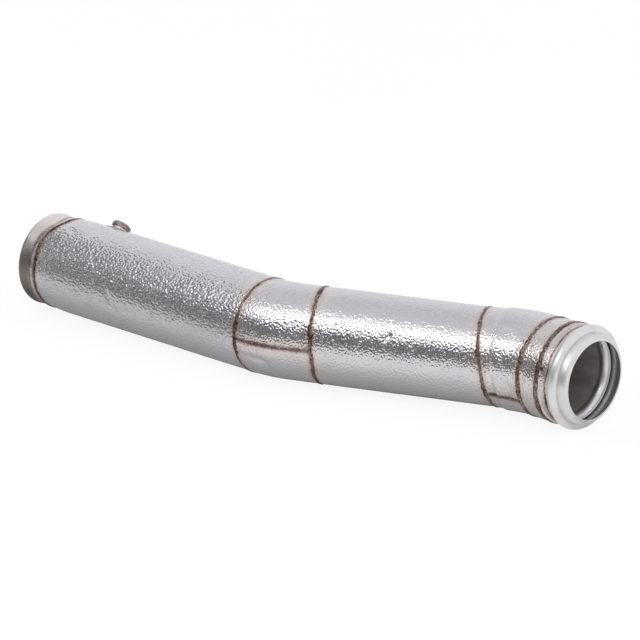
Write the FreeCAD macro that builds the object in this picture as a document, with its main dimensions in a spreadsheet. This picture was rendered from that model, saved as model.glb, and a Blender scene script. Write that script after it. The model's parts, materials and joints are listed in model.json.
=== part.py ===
import FreeCAD, Part
import math
import os
import re
import Sketcher

# Insulated exhaust pipe with two opposite bends: a gas tube, fibre sleeves and a jacket of welded foil.
# X runs along both parallel pipe ends from inlet to outlet, the outlet is offset towards +Y, and +Z is up.
# The pipe lies on its first bend's ring weld, its inlet jacket and the bead of the outlet flange.

doc = FreeCAD.newDocument("exhaust_pipe")

# Driving dimensions in millimetres and degrees
sizes = {
    # gas tube
    "tube_diameter": 100,
    "tube_wall": 1.5,
    "bend_radius": 115,
    "bend_angle": 20,
    "inlet_run": 399,           # inlet rim to the corner of the first bend
    "middle_run": 329.2,        # corner to corner
    "outlet_run": 96.7,         # corner of the second bend to the outlet mouth
    "inlet_tube_set": 21,       # tube end behind the inlet rim
    "outlet_tube_set": 20.7,    # tube end behind the outlet mouth
    "tube_flare": 6,            # widening of the tube end in the outlet flange
    "tube_flare_length": 6,
    # mats and foil jacket; rises and drops are steps in radius from one skin to the next
    "mat_thickness": 9.5,
    "foil_thickness": 0.5,
    "outlet_rise": 2.3,         # outlet cover above the middle cover
    "crest_rise": 0.7,          # crest of the closing band above the outlet cover
    "land_drop": 1.4,           # land for the collar weld below the inlet cover
    "elbow_seam": 57.9,         # first corner to the seam behind the elbow
    "elbow_seam_lean": 6.2,     # lean of the seam against a square cut
    "elbow_seam_clock": 21,     # side that leans back to the inlet; clock angles: 0 at +Y, 90 at the top
    "outlet_seam_set": 46.7,    # outlet seam to the second corner
    "outlet_seam_lean": 11.3,
    "outlet_seam_clock": 69,
    "outlet_lap": 12.5,         # overlap of the outlet jacket, measured on the axis
    "outlet_cone": 6,           # from the lap up to the full outlet cover
    "band_seam": 29.9,          # second corner to the seam of the closing band
    "collar_strip_length": 5,   # jacket edge pressed onto the collar
    "flange_strip_length": 7.5, # jacket edge pressed onto the flange
    "strip_step": 1.5,
    "land_length": 6,
    "taper_length": 23,
    # welds
    "weld_width": 4.5,
    "weld_height": 0.6,
    "rim_weld_width": 3,
    "lap_weld_width": 3.5,
    "elbow_lap_clock": 179,
    "outlet_lap_clock": 206.5,
    "hidden_lap_clock": 330,
    # inlet collar
    "collar_drop": 1.4,         # neck below the land
    "collar_rim_rise": 1.2,     # rim above the neck
    "collar_wall": 2.5,
    "collar_rim_round": 5,
    "collar_flare": 19,         # inlet rim to the neck
    "collar_cone": 8,
    "collar_sleeve_length": 11,
    # outlet flange
    "flange_wall": 2,
    "flange_drop": 2.5,         # neck below the crest of the closing band
    "bead_rise": 4.2,           # crown of the bead above the neck
    "bead_round": 6.5,
    "bead_set": 17,             # crown of the bead behind the mouth
    "neck_gap": 2.3,            # bare neck between the last weld and the bead
    "valley_drop": 4,           # valley between bead and nose, below the neck
    "nose_drop": 0.7,           # nose below the valley
    "nose_round": 7,
    "flange_cone": 8,
    "flange_sleeve_length": 8,
    # sensor boss
    "boss_station": 82,         # inlet rim to the boss axis
    "boss_clock": 43,
    "boss_diameter": 22,
    "boss_bore": 14,
    "boss_rise": 3,             # boss face above the jacket
    "boss_clearance": 0.3,
    "washer_diameter": 20,
    "washer_thickness": 1.5,
    "plug_flats": 22,
    "plug_head": 6.5,
    "plug_gap": 2.5,            # end of the shank above the tube
    "plug_bevel": 1.2,
    "eyelet_diameter": 36,
    "eyelet_wall": 0.8,
}

# Radii and stations worked out from the driving dimensions.
# Stations count from the inlet rim on the inlet pieces and from the bend corners on the others.
places = {
    "tube_radius": "tube_diameter / 2",
    "bore_radius": "tube_radius - tube_wall",
    "tube_end": "outlet_run - outlet_tube_set",
    "flare_start": "tube_end - tube_flare_length",
    "jacket_inside": "tube_radius + mat_thickness",
    "jacket_radius": "jacket_inside + foil_thickness",
    "outlet_radius": "jacket_radius + outlet_rise",
    "outlet_inside": "outlet_radius - foil_thickness",
    "crest_radius": "outlet_radius + crest_rise",
    "land_radius": "jacket_radius - land_drop",
    "land_inside": "land_radius - foil_thickness",
    "bend_tangent": "bend_radius * tan(bend_angle / 2)",
    "first_bend": "inlet_run - bend_tangent",
    "second_bend": "middle_run - bend_tangent",
    "middle_reach": "middle_run * cos(bend_angle)",
    "side_offset": "middle_run * sin(bend_angle)",
    "weld_radius": "jacket_radius + weld_height",
    "trim_reach": "2 * jacket_radius",
    "elbow_slope": "tan(elbow_seam_lean)",
    "outlet_slope": "tan(outlet_seam_lean)",
    "elbow_swing": "jacket_radius * elbow_slope",
    "outlet_swing": "jacket_radius * outlet_slope",
    "outlet_seam": "middle_run - outlet_seam_set",
    "lap_end": "outlet_seam + outlet_lap",
    "cone_end": "lap_end + outlet_cone",
    "collar_neck": "land_radius - collar_drop",
    "collar_rim": "collar_neck + collar_rim_rise",
    "collar_inside": "collar_neck - collar_wall",
    "collar_mouth": "collar_rim - collar_rim_round",
    "collar_sleeve": "tube_radius + collar_wall",
    "collar_strip": "collar_flare + rim_weld_width",
    "collar_strip_end": "collar_strip + collar_strip_length",
    "collar_neck_end": "collar_strip_end + collar_wall",
    "collar_cone_end": "collar_neck_end + collar_cone",
    "collar_shift": "collar_wall * tan(atan((collar_neck - collar_sleeve) / collar_cone) / 2)",
    "collar_end": "collar_cone_end + collar_sleeve_length",
    "land_start": "collar_strip_end + strip_step",
    "land_end": "land_start + land_length",
    "taper_end": "land_end + taper_length",
    "mat_edge": "land_inside + land_drop * (collar_cone_end - land_end) / taper_length",
    "flange_neck": "crest_radius - flange_drop",
    "flange_inside": "flange_neck - flange_wall",
    "bead_radius": "flange_neck + bead_rise",
    "bead_station": "outlet_run - bead_set",
    "bead_centre": "bead_radius - bead_round",
    "bead_hollow": "bead_round - flange_wall",
    "valley_radius": "flange_neck - valley_drop",
    "bead_back": "bead_station - sqrt(bead_round ^ 2 - (flange_neck - bead_centre) ^ 2)",
    "bead_front": "bead_station + sqrt(bead_round ^ 2 - (valley_radius - bead_centre) ^ 2)",
    "hollow_back": "bead_station - sqrt(bead_hollow ^ 2 - (flange_inside - bead_centre) ^ 2)",
    "hollow_front": "bead_station + sqrt(bead_hollow ^ 2 - (valley_radius - bead_centre) ^ 2)",
    "nose_radius": "valley_radius - nose_drop",
    "nose_station": "outlet_run - nose_round",
    "mouth_radius": "nose_radius - nose_round",
    "flange_strip_end": "bead_back - neck_gap - rim_weld_width",
    "flange_strip": "flange_strip_end - flange_strip_length",
    "crest_end": "flange_strip - strip_step",
    "crest_start": "crest_end - land_length",
    "flange_sleeve": "tube_radius + flange_wall",
    "flange_cone_start": "crest_start - flange_cone",
    "flange_start": "flange_cone_start - flange_sleeve_length",
    "flange_shift": "flange_wall * tan(atan((flange_neck - flange_sleeve) / flange_cone) / 2)",
    "boss_radius": "boss_diameter / 2",
    "boss_hole": "boss_radius + boss_clearance",
    "boss_bore_radius": "boss_bore / 2",
    "boss_top": "jacket_radius + boss_rise",
    "washer_top": "boss_top + washer_thickness",
    "plug_top": "washer_top + plug_head",
    "plug_corner": "plug_flats / 2 / cos(30)",
    "eyelet_radius": "eyelet_diameter / 2",
}

owner = {}


def bound(text, home=""):
    """Put the sheet's name before each alias in an expression."""
    def named(word):
        sheet_name = owner.get(word.group(), home)
        return word.group() if sheet_name == home else sheet_name + "." + word.group()
    return re.sub(r"[a-z_]{2,}", named, text)


def fill_sheet(name, cells):
    sheet = doc.addObject("Spreadsheet::Sheet", name)
    for row, (alias, content) in enumerate(cells.items(), start=1):
        owner[alias] = name
        sheet.set("A%d" % row, alias)
        is_formula = isinstance(content, str)
        sheet.set("B%d" % row, "=" + bound(content, name) if is_formula else str(content))
        sheet.setAlias("B%d" % row, alias)
    doc.recompute()
    return sheet


size_sheet = fill_sheet("Sizes", sizes)
place_sheet = fill_sheet("Places", places)


def value(alias):
    sheet = size_sheet if owner[alias] == "Sizes" else place_sheet
    return float(sheet.get(alias))


nodes = []
x_axis = FreeCAD.Vector(1, 0, 0)
z_axis = FreeCAD.Vector(0, 0, 1)


def new_body(label, frame):
    body = doc.addObject("PartDesign::Body", label)
    body.Label = label
    body.Placement = frame
    nodes.append(body)
    return body


def sketch_on(body, role, station=None, clock=None):
    """Start a sketch on an origin plane, moved to a station or turned about X to a clock angle."""
    plane = next(item for item in body.Origin.OriginFeatures if item.Role == role)
    sketch = body.newObject("Sketcher::SketchObject", body.Label + "_sketch")
    sketch.AttachmentSupport = [(plane, "")]
    sketch.MapMode = "FlatFace"
    if station:
        sketch.setExpression("AttachmentOffset.Base.z", bound(station))
    if clock:
        sketch.AttachmentOffset = FreeCAD.Placement(FreeCAD.Vector(), FreeCAD.Rotation(x_axis, 1))
        sketch.setExpression("AttachmentOffset.Rotation.Angle", bound(clock))
    doc.recompute()
    return sketch


def number(sketch, text):
    return float(sketch.evalExpression(bound(text)))


def bind(sketch, constraint, text):
    index = sketch.addConstraint(constraint)
    sketch.setExpression("Constraints[%d]" % index, bound(text))


def pin(sketch, geometry, point, x, y):
    """Hold a point of the sketch at the expressions x and y."""
    for kind, text, axis in (("DistanceX", x, -2), ("DistanceY", y, -1)):
        if text == "0":
            sketch.addConstraint(Sketcher.Constraint("PointOnObject", geometry, point, axis))
        else:
            bind(sketch, Sketcher.Constraint(kind, -1, 1, geometry, point, number(sketch, text)), text)


def arc_between(start, end, radius, side):
    """The shorter arc from start to end; side is 1 for a left turn and -1 for a right turn."""
    chord = end - start
    rise = math.sqrt(radius ** 2 - (chord.Length / 2) ** 2)
    left = FreeCAD.Vector(-chord.y, chord.x, 0).normalize()
    centre = (start + end) / 2 + left * rise * side
    circle = Part.Circle(centre, FreeCAD.Vector(0, 0, 1), radius)
    ends = (start, end) if side > 0 else (end, start)
    return Part.ArcOfCircle(circle, *[circle.parameter(point) for point in ends])


def outline(sketch, points, closed=True):
    """Draw lines and arcs through points given as (x, y) or (x, y, side, radius of the arc that follows)."""
    corners = [FreeCAD.Vector(number(sketch, point[0]), number(sketch, point[1]), 0) for point in points]
    edges = []
    for index, point in enumerate(points if closed else points[:-1]):
        start = corners[index]
        end = corners[(index + 1) % len(points)]
        if len(point) == 2:
            edges.append((sketch.addGeometry(Part.LineSegment(start, end)), 1, 2))
            continue
        side, radius = point[2:]
        geometry = sketch.addGeometry(arc_between(start, end, number(sketch, radius), side))
        edges.append((geometry, 1, 2) if side > 0 else (geometry, 2, 1))
    for (first, _, last_point), (second, first_point, _) in zip(edges, edges[1:]):
        sketch.addConstraint(Sketcher.Constraint("Coincident", first, last_point, second, first_point))
    if closed:
        sketch.addConstraint(Sketcher.Constraint("Coincident", edges[-1][0], edges[-1][2], *edges[0][:2]))
    for (geometry, first_point, last_point), point in zip(edges, points):
        pin(sketch, geometry, first_point, point[0], point[1])
        if len(point) == 4:
            bind(sketch, Sketcher.Constraint("Radius", geometry, number(sketch, point[3])), point[3])
    if not closed:
        pin(sketch, edges[-1][0], edges[-1][2], points[-1][0], points[-1][1])
    doc.recompute()


def circles(sketch, *radii):
    """Draw circles about the sketch's origin."""
    for radius in radii:
        circle = Part.Circle(FreeCAD.Vector(), FreeCAD.Vector(0, 0, 1), number(sketch, radius))
        geometry = sketch.addGeometry(circle)
        sketch.addConstraint(Sketcher.Constraint("Coincident", geometry, 3, -1, 1))
        bind(sketch, Sketcher.Constraint("Radius", geometry, circle.Radius), radius)
    doc.recompute()


def sector(sketch, inner, outer, clock, width):
    """Draw a piece of a ring of the given width about a clock angle."""
    half = "%s / %s * 90 / pi" % (width, inner)
    low = "(%s - %s)" % (clock, half)
    high = "(%s + %s)" % (clock, half)

    def corner(radius, angle):
        return "%s * cos(%s)" % (radius, angle), "%s * sin(%s)" % (radius, angle)

    ring = "(%s)" % outer
    outline(sketch, [
        corner(inner, low),
        corner(ring, low) + (1, ring),
        corner(ring, high),
        corner(inner, high) + (-1, inner),
    ])


def revolve(body, points, kind="PartDesign::Revolution", corner=None):
    """Turn (station, radius) points about the body's X axis, or about its parallel through a corner."""
    sketch = sketch_on(body, "XY_Plane")
    if corner:
        sketch.setExpression("AttachmentOffset.Base.x", bound(corner[0]))
        sketch.setExpression("AttachmentOffset.Base.y", bound(corner[1]))
    outline(sketch, points)
    feature = body.newObject(kind, body.Label + "_turn")
    feature.Profile = sketch
    feature.ReferenceAxis = (sketch, ["H_Axis"])
    feature.Angle = 360
    doc.recompute()


def pad(body, station, end, draw):
    """Extrude a section drawn across X from one station to another."""
    sketch = sketch_on(body, "YZ_Plane", station)
    draw(sketch)
    feature = body.newObject("PartDesign::Pad", body.Label + "_pad")
    feature.Profile = sketch
    feature.setExpression("Length", bound("%s - (%s)" % (end, station)))
    doc.recompute()


def pipe(body, station, draw, route):
    """Sweep a section drawn across X at a station along a route in the XY plane."""
    section = sketch_on(body, "YZ_Plane", station)
    draw(section)
    spine = sketch_on(body, "XY_Plane")
    outline(spine, route, closed=False)
    feature = body.newObject("PartDesign::AdditivePipe", body.Label + "_pipe")
    feature.Profile = section
    feature.Spine = (spine, ["Edge%d" % count for count in range(1, len(route))])
    doc.recompute()


def cut_through(body, sketch, side_type="Symmetric"):
    """Pocket a sketch right through, and make sure that it took something away."""
    before = body.Shape.Volume
    feature = body.newObject("PartDesign::Pocket", body.Label + "_cut")
    feature.Profile = sketch
    feature.Type = "ThroughAll"
    feature.SideType = side_type
    feature.Reversed = side_type == "One side"
    doc.recompute()
    if not body.Shape.Volume < before:
        raise RuntimeError(body.Label + ": the cut took nothing away")


def trim(body, clock, seam, slope, far):
    """Cut off what lies between a far station and a seam that leans back towards a clock angle."""
    sketch = sketch_on(body, "XY_Plane", clock=clock)
    outline(sketch, [
        ("%s + %s * trim_reach" % (seam, slope), "-trim_reach"),
        ("%s - %s * trim_reach" % (seam, slope), "trim_reach"),
        (far, "trim_reach"),
        (far, "-trim_reach"),
    ])
    cut_through(body, sketch)


def radial_hole(body, radius):
    """Drill the boss hole from the pipe axis outwards."""
    sketch = sketch_on(body, "XY_Plane", clock="boss_clock - 90")
    place = FreeCAD.Vector(value("boss_station"), 0, 0)
    geometry = sketch.addGeometry(Part.Circle(place, FreeCAD.Vector(0, 0, 1), number(sketch, radius)))
    pin(sketch, geometry, 3, "boss_station", "0")
    bind(sketch, Sketcher.Constraint("Radius", geometry, number(sketch, radius)), radius)
    doc.recompute()
    cut_through(body, sketch, "One side")


def saddle(body, radius):
    """Cope the foot of a boss piece to a cylinder about the pipe axis."""
    sketch = sketch_on(body, "XZ_Plane")
    circles(sketch, radius)
    cut_through(body, sketch)


# Frames: the pipe rolls about its inlet axis until the bead and the first ring weld touch the floor
roll_angle = math.degrees(math.asin((value("bead_radius") - value("weld_radius")) / value("side_offset")))
total_length = value("inlet_run") + value("middle_reach") + value("outlet_run")
outlet_side = value("side_offset") * math.cos(math.radians(roll_angle)) + value("bead_radius")

inlet_frame = FreeCAD.Placement(
    FreeCAD.Vector(-total_length / 2, (value("weld_radius") - outlet_side) / 2, value("weld_radius")),
    FreeCAD.Rotation(x_axis, roll_angle))
middle_frame = inlet_frame * FreeCAD.Placement(
    FreeCAD.Vector(value("inlet_run"), 0, 0), FreeCAD.Rotation(z_axis, value("bend_angle")))
outlet_frame = inlet_frame * FreeCAD.Placement(
    FreeCAD.Vector(value("inlet_run") + value("middle_reach"), value("side_offset"), 0), FreeCAD.Rotation())
boss_frame = inlet_frame * FreeCAD.Placement(
    FreeCAD.Vector(value("boss_station"), 0, 0),
    FreeCAD.Rotation(x_axis, value("boss_clock")) * FreeCAD.Rotation(z_axis, 90))

# Points of the route in the middle frame, whose X axis is the straight run between the bends
first_entry = ("-bend_tangent * cos(bend_angle)", "bend_tangent * sin(bend_angle)")
first_exit = ("bend_tangent", "0")
second_entry = ("second_bend", "0")


def past_second_corner(distance):
    return "middle_run + (%s) * cos(bend_angle)" % distance, "-(%s) * sin(bend_angle)" % distance


second_exit = past_second_corner("bend_tangent")


def exhaust_tube():
    body = new_body("exhaust_tube", inlet_frame)
    corner = ("inlet_run + bend_tangent * cos(bend_angle)", "bend_tangent * sin(bend_angle)")
    run_end = ("inlet_run + second_bend * cos(bend_angle)", "second_bend * sin(bend_angle)")
    outlet_corner = ("inlet_run + middle_reach", "side_offset")
    outlet_start = ("inlet_run + middle_reach + bend_tangent", "side_offset")
    outlet_end = ("inlet_run + middle_reach + flare_start", "side_offset")
    pipe(body, "inlet_tube_set", lambda sketch: circles(sketch, "tube_radius", "bore_radius"), [
        ("inlet_tube_set", "0"),
        ("first_bend", "0", 1, "bend_radius"),
        corner,
        run_end + (-1, "bend_radius"),
        outlet_start,
        outlet_end,
    ])
    revolve(body, [
        ("flare_start", "tube_radius"),
        ("tube_end", "tube_radius + tube_flare"),
        ("tube_end", "bore_radius + tube_flare"),
        ("flare_start", "bore_radius"),
    ], corner=outlet_corner)
    radial_hole(body, "boss_bore_radius")


def inlet_collar():
    """Pressed ring: a sleeve on the tube, a cone out to the neck, and a rim curled inwards."""
    revolve(new_body("inlet_collar", inlet_frame), [
        ("collar_rim_round", "collar_rim"),
        ("collar_flare", "collar_neck"),
        ("collar_neck_end", "collar_neck"),
        ("collar_cone_end", "collar_sleeve"),
        ("collar_end", "collar_sleeve"),
        ("collar_end", "tube_radius"),
        ("collar_cone_end - collar_shift", "tube_radius"),
        ("collar_neck_end - collar_shift", "collar_inside"),
        ("collar_flare", "collar_inside"),
        ("collar_rim_round", "collar_rim - collar_wall", 1, "collar_rim_round - collar_wall"),
        ("collar_wall", "collar_mouth"),
        ("0", "collar_mouth", -1, "collar_rim_round"),
    ])


def outlet_flange():
    """Pressed ring: a sleeve on the tube, a cone to the neck, a hollow bead and a nose curled inwards."""
    revolve(new_body("outlet_flange", outlet_frame), [
        ("flange_start", "flange_sleeve"),
        ("flange_cone_start", "flange_sleeve"),
        ("crest_start", "flange_neck"),
        ("bead_back", "flange_neck", -1, "bead_round"),
        ("bead_station", "bead_radius", -1, "bead_round"),
        ("bead_front", "valley_radius"),
        ("nose_station", "nose_radius", -1, "nose_round"),
        ("outlet_run", "mouth_radius"),
        ("outlet_run - flange_wall", "mouth_radius", 1, "nose_round - flange_wall"),
        ("nose_station", "nose_radius - flange_wall"),
        ("bead_front", "valley_radius - flange_wall"),
        ("hollow_front", "valley_radius", 1, "bead_hollow"),
        ("bead_station", "bead_radius - flange_wall", 1, "bead_hollow"),
        ("hollow_back", "flange_inside"),
        ("crest_start + flange_shift", "flange_inside"),
        ("flange_cone_start + flange_shift", "tube_radius"),
        ("flange_start", "tube_radius"),
    ])


def mats():
    """Fibre sleeves between the tube and the jacket, one for each jacket section."""
    inlet_mat = new_body("inlet_mat", inlet_frame)
    revolve(inlet_mat, [
        ("collar_cone_end", "mat_edge"),
        ("taper_end", "jacket_inside"),
        ("first_bend", "jacket_inside"),
        ("first_bend", "tube_radius"),
        ("collar_end", "tube_radius"),
        ("collar_end", "collar_sleeve"),
        ("collar_cone_end", "collar_sleeve"),
    ])
    radial_hole(inlet_mat, "boss_hole")

    def sleeve(sketch):
        circles(sketch, "jacket_inside", "tube_radius")

    pipe(new_body("elbow_mat", middle_frame), "elbow_seam", sleeve, [
        ("elbow_seam", "0"),
        first_exit + (-1, "bend_radius"),
        first_entry,
    ])
    pad(new_body("middle_mat", middle_frame), "elbow_seam", "second_bend", sleeve)
    pipe(new_body("outlet_mat", middle_frame), "second_bend",
         lambda sketch: circles(sketch, "outlet_inside", "tube_radius"), [
             second_entry + (-1, "bend_radius"),
             second_exit,
             past_second_corner("flange_start"),
         ])


def inlet_jacket():
    """Foil cover of the inlet run, pressed down in steps onto the collar."""
    body = new_body("inlet_jacket", inlet_frame)
    revolve(body, [
        ("collar_strip", "collar_neck + foil_thickness"),
        ("collar_strip_end", "collar_neck + foil_thickness"),
        ("land_start", "land_radius"),
        ("land_end", "land_radius"),
        ("taper_end", "jacket_radius"),
        ("first_bend", "jacket_radius"),
        ("first_bend", "jacket_inside"),
        ("taper_end", "jacket_inside"),
        ("land_end", "land_inside"),
        ("land_start", "land_inside"),
        ("collar_strip_end", "collar_neck"),
        ("collar_strip", "collar_neck"),
    ])
    radial_hole(body, "boss_hole")


def elbow_jacket():
    """Foil cover of the first bend, cut at a slant behind it."""
    body = new_body("elbow_jacket", middle_frame)
    start = "elbow_seam + 2 * elbow_swing"
    pipe(body, start, lambda sketch: circles(sketch, "jacket_radius", "jacket_inside"), [
        (start, "0"),
        first_exit + (-1, "bend_radius"),
        first_entry,
    ])
    trim(body, "elbow_seam_clock", "elbow_seam", "elbow_slope", "elbow_seam + trim_reach")


def middle_jacket():
    """Foil cover of the run between the bends, tucked under the outlet cover."""
    body = new_body("middle_jacket", middle_frame)
    pad(body, "elbow_seam - 2 * elbow_swing", "lap_end",
        lambda sketch: circles(sketch, "jacket_radius", "jacket_inside"))
    trim(body, "elbow_seam_clock", "elbow_seam", "elbow_slope", "elbow_seam - trim_reach")


def outlet_jacket():
    """Foil cover of the second bend: a slanted lap on the middle cover, a cone, and the bend."""
    body = new_body("outlet_jacket", middle_frame)
    start = "outlet_seam - 2 * outlet_swing"
    revolve(body, [
        (start, "jacket_radius + foil_thickness"),
        ("lap_end", "jacket_radius + foil_thickness"),
        ("cone_end", "outlet_radius"),
        ("cone_end", "outlet_inside"),
        ("lap_end", "jacket_radius"),
        (start, "jacket_radius"),
    ])
    pipe(body, "cone_end", lambda sketch: circles(sketch, "outlet_radius", "outlet_inside"), [
        ("cone_end", "0"),
        second_entry + (-1, "bend_radius"),
        second_exit,
        past_second_corner("band_seam"),
    ])
    trim(body, "outlet_seam_clock", "outlet_seam", "outlet_slope", "outlet_seam - trim_reach")


def closing_band():
    """Foil band at the outlet, raised to a crest and pressed down onto the flange's neck."""
    revolve(new_body("closing_band", outlet_frame), [
        ("band_seam", "outlet_radius"),
        ("crest_start", "crest_radius"),
        ("crest_end", "crest_radius"),
        ("flange_strip", "flange_neck + foil_thickness"),
        ("flange_strip_end", "flange_neck + foil_thickness"),
        ("flange_strip_end", "flange_neck"),
        ("flange_strip", "flange_neck"),
        ("crest_end", "crest_radius - foil_thickness"),
        ("crest_start", "crest_radius - foil_thickness"),
        ("band_seam", "outlet_inside"),
    ])


def ring_weld(label, frame, start, width, radius):
    """Weld bead with sloping sides around a pipe axis."""
    end = "%s + %s" % (start, width)
    top = "%s + weld_height" % radius
    revolve(new_body(label, frame), [
        (start, radius),
        (start + " + weld_height", top),
        (end + " - weld_height", top),
        (end, radius),
    ])


def ring_welds():
    ring_weld("collar_rim_weld", inlet_frame, "collar_flare", "rim_weld_width", "collar_neck")
    ring_weld("collar_weld", inlet_frame, "land_start + (land_length - weld_width) / 2", "weld_width",
              "land_radius")
    ring_weld("elbow_front_weld", inlet_frame, "first_bend - weld_width", "weld_width", "jacket_radius")
    ring_weld("band_weld", outlet_frame, "band_seam - weld_width", "weld_width", "outlet_radius")
    ring_weld("flange_weld", outlet_frame, "crest_start + (land_length - weld_width) / 2", "weld_width",
              "crest_radius")
    ring_weld("flange_rim_weld", outlet_frame, "flange_strip_end", "rim_weld_width", "flange_neck")


def slanted_weld(label, clock, seam, slope, swing, before, after):
    """Weld bead around the middle run that follows a slanted seam."""
    body = new_body(label, middle_frame)
    pad(body, "%s - 2 * %s - weld_width" % (seam, swing), "%s + 2 * %s + weld_width" % (seam, swing),
        lambda sketch: circles(sketch, "weld_radius", "jacket_radius"))
    trim(body, clock, "%s - %s" % (seam, before), slope, seam + " - trim_reach")
    trim(body, clock, "%s + %s" % (seam, after), slope, seam + " + trim_reach")


def slanted_welds():
    slanted_weld("elbow_rear_weld", "elbow_seam_clock", "elbow_seam", "elbow_slope", "elbow_swing",
                 "weld_width / 2", "weld_width / 2")
    slanted_weld("outlet_front_weld", "outlet_seam_clock", "outlet_seam", "outlet_slope", "outlet_swing",
                 "weld_width", "0")


def lap_welds():
    """Lengthwise beads that close each rolled jacket section."""
    def on_jacket(clock):
        return lambda sketch: sector(sketch, "jacket_radius", "jacket_radius + weld_height", clock,
                                     "lap_weld_width")

    elbow_end = "elbow_seam + elbow_swing - weld_width"
    pipe(new_body("elbow_lap_weld", middle_frame), elbow_end, on_jacket("elbow_lap_clock"), [
        (elbow_end, "0"),
        first_exit + (-1, "bend_radius"),
        first_entry,
    ])
    pipe(new_body("outlet_lap_weld", middle_frame), "cone_end",
         lambda sketch: sector(sketch, "outlet_radius", "outlet_radius + weld_height", "outlet_lap_clock",
                               "lap_weld_width"), [
             ("cone_end", "0"),
             second_entry + (-1, "bend_radius"),
             second_exit,
             past_second_corner("band_seam - weld_width"),
         ])
    pad(new_body("inlet_lap_weld", inlet_frame), "taper_end", "first_bend - weld_width",
        on_jacket("hidden_lap_clock"))
    pad(new_body("middle_lap_weld", middle_frame), "elbow_seam + elbow_swing + weld_width",
        "outlet_seam - outlet_swing - 2 * weld_width", on_jacket("hidden_lap_clock"))


def sensor_boss():
    """Turned boss that stands on the tube and comes out through the jacket."""
    body = new_body("sensor_boss", boss_frame)
    revolve(body, [
        ("bore_radius", "boss_radius"),
        ("boss_top", "boss_radius"),
        ("boss_top", "boss_bore_radius"),
        ("bore_radius", "boss_bore_radius"),
    ])
    saddle(body, "tube_radius")


def plug_washer():
    revolve(new_body("plug_washer", boss_frame), [
        ("boss_top", "washer_diameter / 2"),
        ("washer_top", "washer_diameter / 2"),
        ("washer_top", "boss_bore_radius"),
        ("boss_top", "boss_bore_radius"),
    ])


def boss_plug():
    """Hexagon plug: a shank in the boss and a head with bevelled corners."""
    body = new_body("boss_plug", boss_frame)
    pad(body, "tube_radius + plug_gap", "washer_top", lambda sketch: circles(sketch, "boss_bore_radius"))
    turns = range(30, 390, 60)
    corners = [("plug_corner * cos(%d)" % turn, "plug_corner * sin(%d)" % turn) for turn in turns]
    pad(body, "washer_top", "plug_top", lambda sketch: outline(sketch, corners))
    revolve(body, [
        ("plug_top", "plug_flats / 2 - plug_bevel"),
        ("plug_top", "plug_flats"),
        ("plug_top - (plug_flats / 2 + plug_bevel) * tan(30)", "plug_flats"),
    ], "PartDesign::Groove")


def boss_eyelet():
    """Foil cone from the jacket up to the boss."""
    body = new_body("boss_eyelet", boss_frame)
    foot = "jacket_radius - boss_rise - eyelet_wall"
    revolve(body, [
        (foot, "eyelet_radius"),
        ("boss_top", "boss_hole + eyelet_wall"),
        ("boss_top", "boss_hole"),
        (foot, "eyelet_radius - eyelet_wall"),
    ])
    saddle(body, "jacket_radius")


for make in (exhaust_tube, inlet_collar, outlet_flange, mats, inlet_jacket, elbow_jacket, middle_jacket,
             outlet_jacket, closing_band, ring_welds, slanted_welds, lap_welds, sensor_boss, plug_washer,
             boss_plug, boss_eyelet):
    make()

doc.recompute()
for item in doc.Objects:
    if "Invalid" in item.State or "Error" in item.State:
        raise RuntimeError(item.Label + " failed")
for node in nodes:
    if node.Shape.isNull() or not node.Shape.isValid() or len(node.Shape.Solids) != 1:
        raise RuntimeError(node.Label + " is not one valid solid")

os.makedirs("parts", exist_ok=True)
for node in nodes:
    node.Shape.exportStep("parts/%s.step" % node.Label)
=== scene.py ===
import json
import math
import bmesh
import bpy
from mathutils import Matrix, Vector, noise


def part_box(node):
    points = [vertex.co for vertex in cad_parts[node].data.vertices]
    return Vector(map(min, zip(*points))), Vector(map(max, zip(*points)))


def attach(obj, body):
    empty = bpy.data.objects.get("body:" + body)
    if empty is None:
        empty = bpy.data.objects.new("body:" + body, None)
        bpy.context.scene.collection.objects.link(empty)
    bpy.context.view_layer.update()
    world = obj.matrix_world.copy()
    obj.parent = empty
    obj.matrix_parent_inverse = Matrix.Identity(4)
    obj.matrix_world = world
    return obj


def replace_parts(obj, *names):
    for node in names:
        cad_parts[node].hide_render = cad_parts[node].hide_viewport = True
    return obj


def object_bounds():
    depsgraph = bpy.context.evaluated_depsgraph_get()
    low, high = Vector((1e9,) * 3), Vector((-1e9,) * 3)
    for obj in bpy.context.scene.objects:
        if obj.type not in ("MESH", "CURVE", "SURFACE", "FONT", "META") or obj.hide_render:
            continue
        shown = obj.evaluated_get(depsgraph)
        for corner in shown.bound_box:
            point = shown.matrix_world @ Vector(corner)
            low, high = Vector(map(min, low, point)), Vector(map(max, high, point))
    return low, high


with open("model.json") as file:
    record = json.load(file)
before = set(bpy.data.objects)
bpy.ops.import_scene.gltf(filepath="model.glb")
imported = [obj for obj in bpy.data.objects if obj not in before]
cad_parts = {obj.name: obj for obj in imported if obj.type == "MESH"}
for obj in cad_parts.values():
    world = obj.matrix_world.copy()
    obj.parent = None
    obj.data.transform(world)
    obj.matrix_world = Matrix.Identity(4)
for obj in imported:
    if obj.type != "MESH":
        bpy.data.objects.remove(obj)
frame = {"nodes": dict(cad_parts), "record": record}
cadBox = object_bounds()
nodes = frame["nodes"]
print("frame loaded:", len(nodes), "nodes")

mm = 0.001  # lengths below are millimetres on the straightened pipe, until a piece is laid on the route

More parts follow.
